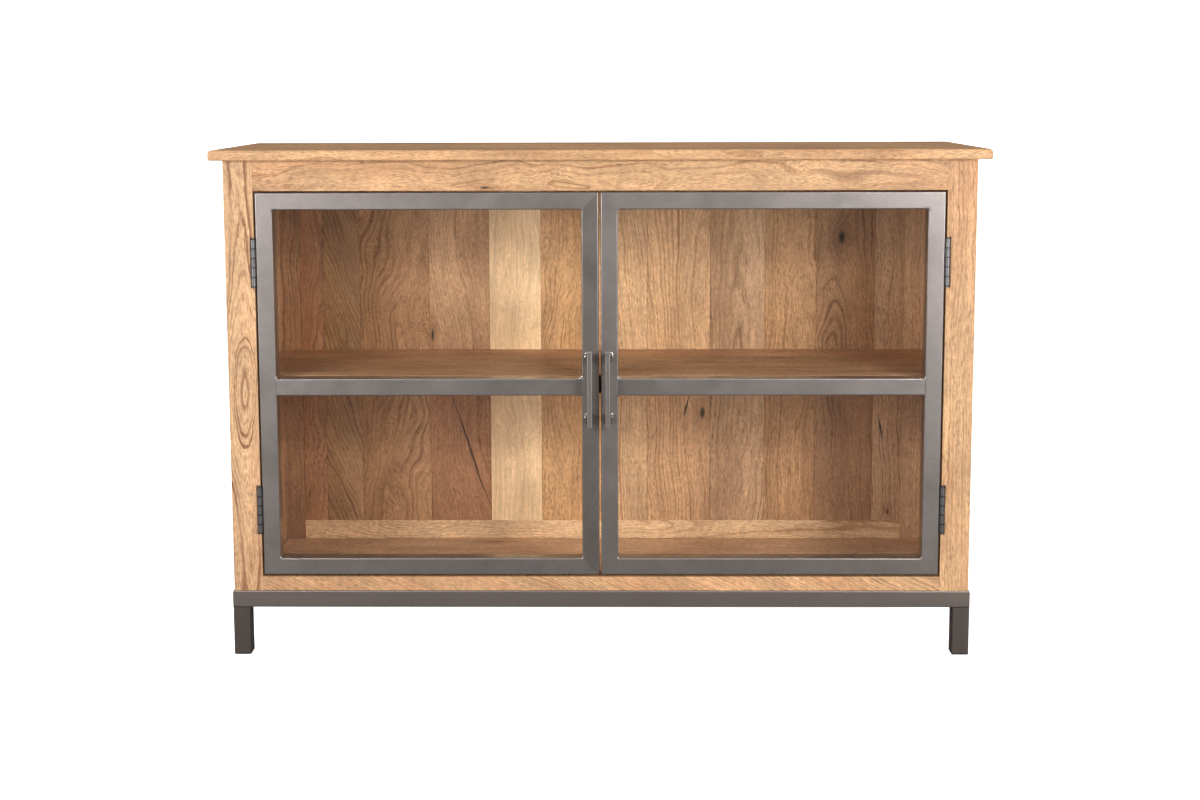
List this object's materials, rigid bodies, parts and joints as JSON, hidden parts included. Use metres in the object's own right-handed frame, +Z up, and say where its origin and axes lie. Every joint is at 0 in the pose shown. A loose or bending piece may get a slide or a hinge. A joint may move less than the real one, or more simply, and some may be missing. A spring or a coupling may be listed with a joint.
{
  "type": "sideboard buffet",
  "caption": "Low solid-wood sideboard on a square-tube steel base, with two steel-framed glass doors on butt hinges, a shelf behind their middle rails and a plank back.",
  "frame": {"origin": "on the floor, under the middle of the whole object's box, handles included", "axes": "+X to the right as seen from the front, +Y from the doors to the back, +Z up"},
  "size_m": [1.35, 0.409, 0.9],
  "materials": {
    "top_wood": "satin lacquered solid mango wood, grain along X",
    "frame_wood": "satin lacquered solid mango wood, light honey",
    "carcass_wood": "satin lacquered solid mango wood",
    "back_wood": "mixed mango planks, cream to dark brown",
    "shelf_wood": "satin lacquered solid mango wood, reddish brown",
    "base_steel": "gunmetal lacquered steel tube, satin",
    "door_steel": "gunmetal lacquered steel tube, satin, ground welds",
    "handle_steel": "gunmetal lacquered steel bar with visible welds",
    "bead_steel": "folded steel angle, gunmetal lacquer",
    "hinge_steel": "plain steel butt hinge, lacquered over",
    "screw_steel": "zinc plated steel",
    "clear_glass": "clear float glass",
    "black_plastic": "black moulded plastic",
    "magnet": "plated magnet faces"
  },
  "bodies": {
    "cabinet": {"back_boards": "back_wood", "back_bottom_rail": "carcass_wood", "back_left_leg": "base_steel", "back_right_leg": "base_steel", "back_top_rail": "carcass_wood", "base_back_rail": "base_steel", "base_cross_bars": "base_steel", "base_front_rail": "base_steel", "base_left_rail": "base_steel", "base_right_rail": "base_steel", "catch_housing": "black_plastic", "catch_magnets": "magnet", "floor_boards": "shelf_wood", "floor_screws": "screw_steel", "foot_glides": "black_plastic", "front_bottom_rail": "frame_wood", "front_left_leg": "base_steel", "front_right_leg": "base_steel", "front_top_rail": "frame_wood", "hinge_frame_screws": "screw_steel", "hinge_pins": "hinge_steel", "left_back_post": "carcass_wood", "left_front_stile": "frame_wood", "left_lower_hinge_frame_leaf": "hinge_steel", "left_side_panel": "carcass_wood", "left_upper_hinge_frame_leaf": "hinge_steel", "right_back_post": "carcass_wood", "right_front_stile": "frame_wood", "right_lower_hinge_frame_leaf": "hinge_steel", "right_side_panel": "carcass_wood", "right_upper_hinge_frame_leaf": "hinge_steel", "shelf": "shelf_wood", "shelf_cleats": "shelf_wood", "top_panel": "top_wood"},
    "left_door": {"left_door_bottom_rail": "door_steel", "left_door_glass_beads": "bead_steel", "left_door_handle_bar": "handle_steel", "left_door_handle_posts": "handle_steel", "left_door_hinge_stile": "door_steel", "left_door_lower_glass": "clear_glass", "left_door_meeting_stile": "door_steel", "left_door_middle_rail": "door_steel", "left_door_top_rail": "door_steel", "left_door_upper_glass": "clear_glass", "left_hinge_door_screws": "screw_steel", "left_lower_hinge_door_leaf": "hinge_steel", "left_upper_hinge_door_leaf": "hinge_steel"},
    "right_door": {"right_door_bottom_rail": "door_steel", "right_door_glass_beads": "bead_steel", "right_door_handle_bar": "handle_steel", "right_door_handle_posts": "handle_steel", "right_door_hinge_stile": "door_steel", "right_door_lower_glass": "clear_glass", "right_door_meeting_stile": "door_steel", "right_door_middle_rail": "door_steel", "right_door_top_rail": "door_steel", "right_door_upper_glass": "clear_glass", "right_hinge_door_screws": "screw_steel", "right_lower_hinge_door_leaf": "hinge_steel", "right_upper_hinge_door_leaf": "hinge_steel"}
  },
  "joints": [
    {"name": "left_door_hinge", "type": "hinge", "parent": "cabinet", "child": "left_door", "pos_m": [-0.603, -0.173, 0.484], "axis": [0, 0, -1], "range_deg": [0, 170]},
    {"name": "right_door_hinge", "type": "hinge", "parent": "cabinet", "child": "right_door", "pos_m": [0.603, -0.173, 0.484], "axis": [0, 0, 1], "range_deg": [0, 170]}
  ]
}
